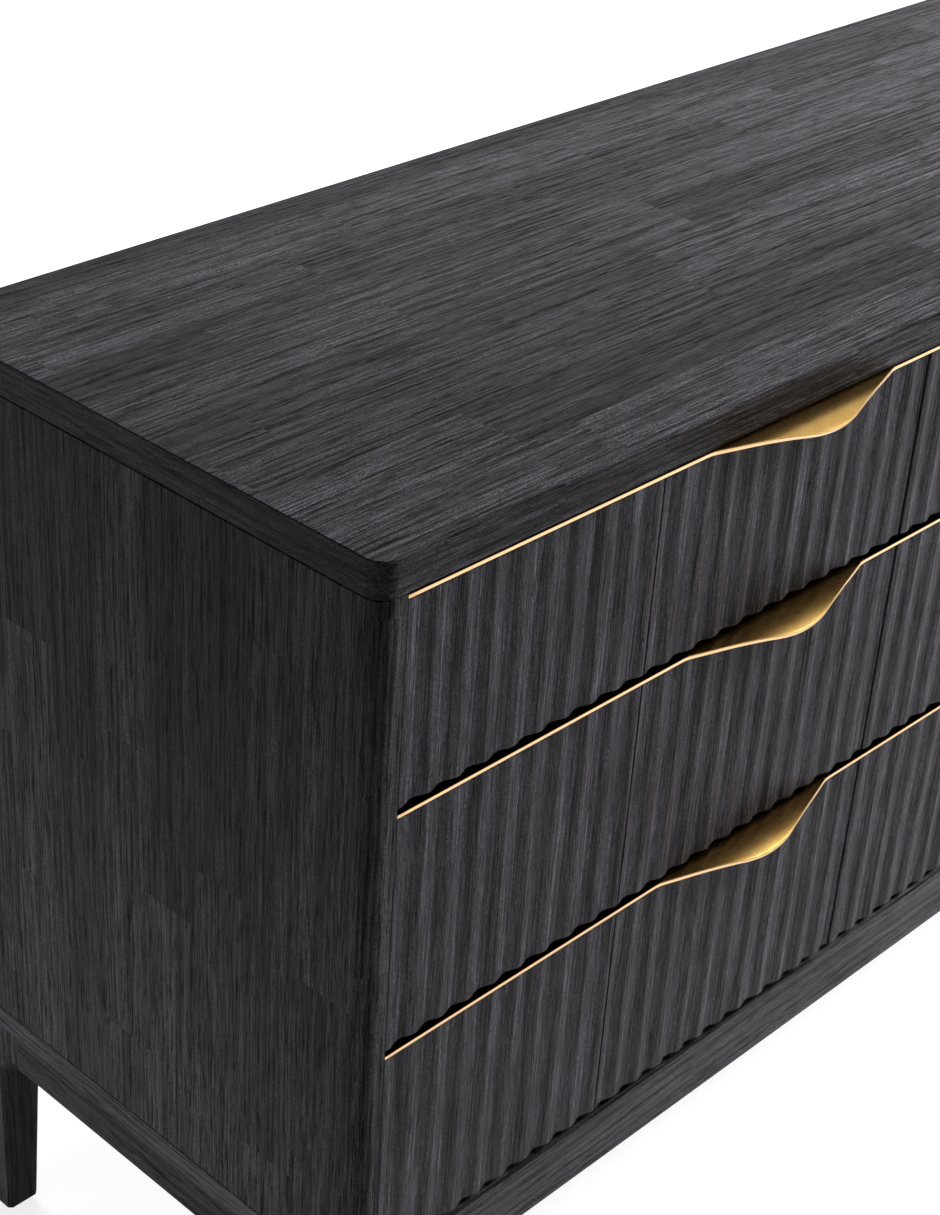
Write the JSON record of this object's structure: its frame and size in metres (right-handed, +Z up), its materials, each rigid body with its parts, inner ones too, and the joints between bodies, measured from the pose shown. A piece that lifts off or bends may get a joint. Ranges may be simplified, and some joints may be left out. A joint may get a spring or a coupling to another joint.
{
  "type": "sideboard buffet",
  "caption": "Black wooden sideboard on short legs, two banks of fluted drawers under a plain top, each with a brass strip and a wave-shaped lip pull.",
  "frame": {"origin": "on the ground, under the centre of the object's plan box, the pulls' lips included", "axes": "+X from the left end to the right end, +Y from the drawer fronts to the back, +Z up"},
  "size_m": [1.578, 0.477, 0.795],
  "materials": {
    "top_wood": "black-stained brushed wood, satin, grain along X",
    "panel_wood": "black-stained brushed wood, satin, upright grain",
    "fluted_wood": "black-stained brushed wood, satin, upright grain",
    "base_wood": "black-stained brushed wood, satin, grain along each member",
    "back_board": "black-stained plywood, matte",
    "drawer_wood": "clear-lacquered solid wood",
    "drawer_board": "clear-lacquered plywood",
    "brass": "satin brushed",
    "slide_steel": "zinc-plated",
    "felt": "pressed felt"
  },
  "bodies": {
    "cabinet": {"back_panel": "back_board", "centre_partition": "panel_wood", "floor_panel": "base_wood", "foot_glides": "felt", "front_apron": "base_wood", "front_left_leg": "base_wood", "front_right_leg": "base_wood", "left_apron": "base_wood", "left_side_panel": "panel_wood", "leg_bolts": "slide_steel", "rear_apron": "base_wood", "rear_left_leg": "base_wood", "rear_right_leg": "base_wood", "right_apron": "base_wood", "right_side_panel": "panel_wood", "slide_cabinet_members": "slide_steel", "top_panel": "top_wood"},
    "left_top_drawer": {"left_top_drawer_front": "fluted_wood", "left_top_drawer_pull": "brass", "left_top_drawer_sides": "drawer_wood", "left_top_drawer_ends": "drawer_wood", "left_top_drawer_bottom": "drawer_board", "left_top_drawer_slide_drawer_members": "slide_steel"},
    "left_top_drawer_slides": {"left_top_drawer_slide_middle_members": "slide_steel"},
    "left_middle_drawer": {"left_middle_drawer_front": "fluted_wood", "left_middle_drawer_pull": "brass", "left_middle_drawer_sides": "drawer_wood", "left_middle_drawer_ends": "drawer_wood", "left_middle_drawer_bottom": "drawer_board", "left_middle_drawer_slide_drawer_members": "slide_steel"},
    "left_middle_drawer_slides": {"left_middle_drawer_slide_middle_members": "slide_steel"},
    "left_lower_drawer": {"left_lower_drawer_front": "fluted_wood", "left_lower_drawer_pull": "brass", "left_lower_drawer_sides": "drawer_wood", "left_lower_drawer_ends": "drawer_wood", "left_lower_drawer_bottom": "drawer_board", "left_lower_drawer_slide_drawer_members": "slide_steel"},
    "left_lower_drawer_slides": {"left_lower_drawer_slide_middle_members": "slide_steel"},
    "right_top_drawer": {"right_top_drawer_front": "fluted_wood", "right_top_drawer_pull": "brass", "right_top_drawer_sides": "drawer_wood", "right_top_drawer_ends": "drawer_wood", "right_top_drawer_bottom": "drawer_board", "right_top_drawer_slide_drawer_members": "slide_steel"},
    "right_top_drawer_slides": {"right_top_drawer_slide_middle_members": "slide_steel"},
    "right_middle_drawer": {"right_middle_drawer_front": "fluted_wood", "right_middle_drawer_pull": "brass", "right_middle_drawer_sides": "drawer_wood", "right_middle_drawer_ends": "drawer_wood", "right_middle_drawer_bottom": "drawer_board", "right_middle_drawer_slide_drawer_members": "slide_steel"},
    "right_middle_drawer_slides": {"right_middle_drawer_slide_middle_members": "slide_steel"},
    "right_lower_drawer": {"right_lower_drawer_front": "fluted_wood", "right_lower_drawer_pull": "brass", "right_lower_drawer_sides": "drawer_wood", "right_lower_drawer_ends": "drawer_wood", "right_lower_drawer_bottom": "drawer_board", "right_lower_drawer_slide_drawer_members": "slide_steel"},
    "right_lower_drawer_slides": {"right_lower_drawer_slide_middle_members": "slide_steel"}
  },
  "joints": [
    {"name": "left_top_drawer_travel", "type": "slide", "parent": "cabinet", "child": "left_top_drawer", "axis": [0, -1, 0], "range_m": [0, 0.34]},
    {"name": "left_top_drawer_slides_travel", "type": "slide", "parent": "cabinet", "child": "left_top_drawer_slides", "axis": [0, -1, 0], "range_m": [0, 0.17]},
    {"name": "left_middle_drawer_travel", "type": "slide", "parent": "cabinet", "child": "left_middle_drawer", "axis": [0, -1, 0], "range_m": [0, 0.34]},
    {"name": "left_middle_drawer_slides_travel", "type": "slide", "parent": "cabinet", "child": "left_middle_drawer_slides", "axis": [0, -1, 0], "range_m": [0, 0.17]},
    {"name": "left_lower_drawer_travel", "type": "slide", "parent": "cabinet", "child": "left_lower_drawer", "axis": [0, -1, 0], "range_m": [0, 0.34]},
    {"name": "left_lower_drawer_slides_travel", "type": "slide", "parent": "cabinet", "child": "left_lower_drawer_slides", "axis": [0, -1, 0], "range_m": [0, 0.17]},
    {"name": "right_top_drawer_travel", "type": "slide", "parent": "cabinet", "child": "right_top_drawer", "axis": [0, -1, 0], "range_m": [0, 0.34]},
    {"name": "right_top_drawer_slides_travel", "type": "slide", "parent": "cabinet", "child": "right_top_drawer_slides", "axis": [0, -1, 0], "range_m": [0, 0.17]},
    {"name": "right_middle_drawer_travel", "type": "slide", "parent": "cabinet", "child": "right_middle_drawer", "axis": [0, -1, 0], "range_m": [0, 0.34]},
    {"name": "right_middle_drawer_slides_travel", "type": "slide", "parent": "cabinet", "child": "right_middle_drawer_slides", "axis": [0, -1, 0], "range_m": [0, 0.17]},
    {"name": "right_lower_drawer_travel", "type": "slide", "parent": "cabinet", "child": "right_lower_drawer", "axis": [0, -1, 0], "range_m": [0, 0.34]},
    {"name": "right_lower_drawer_slides_travel", "type": "slide", "parent": "cabinet", "child": "right_lower_drawer_slides", "axis": [0, -1, 0], "range_m": [0, 0.17]}
  ],
  "couplings": [
    {"joint": "left_top_drawer_slides_travel", "follows": "left_top_drawer_travel", "ratio": 0.5},
    {"joint": "left_middle_drawer_slides_travel", "follows": "left_middle_drawer_travel", "ratio": 0.5},
    {"joint": "left_lower_drawer_slides_travel", "follows": "left_lower_drawer_travel", "ratio": 0.5},
    {"joint": "right_top_drawer_slides_travel", "follows": "right_top_drawer_travel", "ratio": 0.5},
    {"joint": "right_middle_drawer_slides_travel", "follows": "right_middle_drawer_travel", "ratio": 0.5},
    {"joint": "right_lower_drawer_slides_travel", "follows": "right_lower_drawer_travel", "ratio": 0.5}
  ]
}
